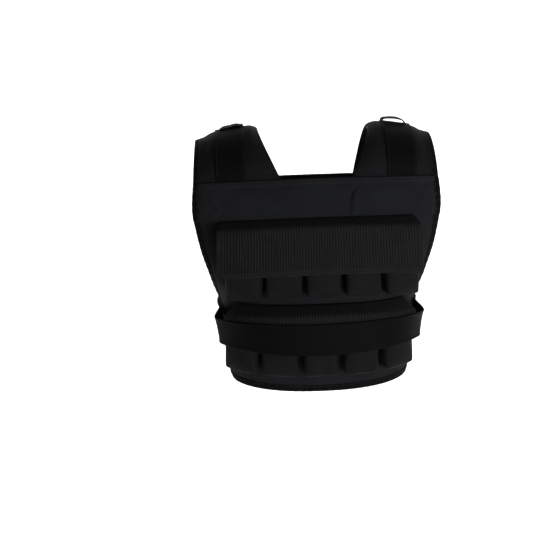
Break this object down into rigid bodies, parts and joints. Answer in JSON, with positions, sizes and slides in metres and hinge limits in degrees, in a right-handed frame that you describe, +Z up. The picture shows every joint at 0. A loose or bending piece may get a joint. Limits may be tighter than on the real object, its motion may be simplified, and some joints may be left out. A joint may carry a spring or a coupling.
{
  "type": "weighted training vest",
  "caption": "Soft weighted vest with wide shoulder pads, ribbed flaps over rows of filled weight pockets, a waist belt and taped edges.",
  "frame": {"origin": "midway between the shoulder pads, level with the highest part of their undersides, where the vest rests on the shoulders", "axes": "+Z up, +Y the way the wearer faces, +X the wearer's right"},
  "size_m": [0.4052, 0.2898, 0.4344],
  "materials": {
    "panel_cloth": "black woven nylon, slight sheen",
    "pocket_cloth": "black woven nylon",
    "pad_cloth": "black woven nylon over foam",
    "ribbed_band": "black ribbed elastic band, matt",
    "belt_webbing": "smooth black webbing with bound edges",
    "strap_webbing": "flat black webbing",
    "keeper_webbing": "thin black webbing",
    "edge_tape": "black grosgrain edge tape"
  },
  "bodies": {
    "root": {"back_panel": "panel_cloth", "back_binding": "edge_tape", "back_yoke": "panel_cloth", "front_panel": "panel_cloth", "front_binding": "edge_tape", "upper_pocket_1": "pocket_cloth", "upper_pocket_2": "pocket_cloth", "upper_pocket_3": "pocket_cloth", "upper_pocket_4": "pocket_cloth", "upper_pocket_5": "pocket_cloth", "lower_pocket_1": "pocket_cloth", "lower_pocket_2": "pocket_cloth", "lower_pocket_3": "pocket_cloth", "lower_pocket_4": "pocket_cloth", "lower_pocket_5": "pocket_cloth", "upper_flap": "ribbed_band", "lower_flap": "ribbed_band", "belt": "belt_webbing", "shoulder_pad_right": "pad_cloth", "shoulder_pad_left": "pad_cloth", "shoulder_strap_right": "strap_webbing", "shoulder_strap_left": "strap_webbing", "pad_binding_right": "edge_tape", "pad_binding_left": "edge_tape", "strap_keeper_right": "keeper_webbing", "strap_keeper_left": "keeper_webbing"}
  },
  "joints": []
}
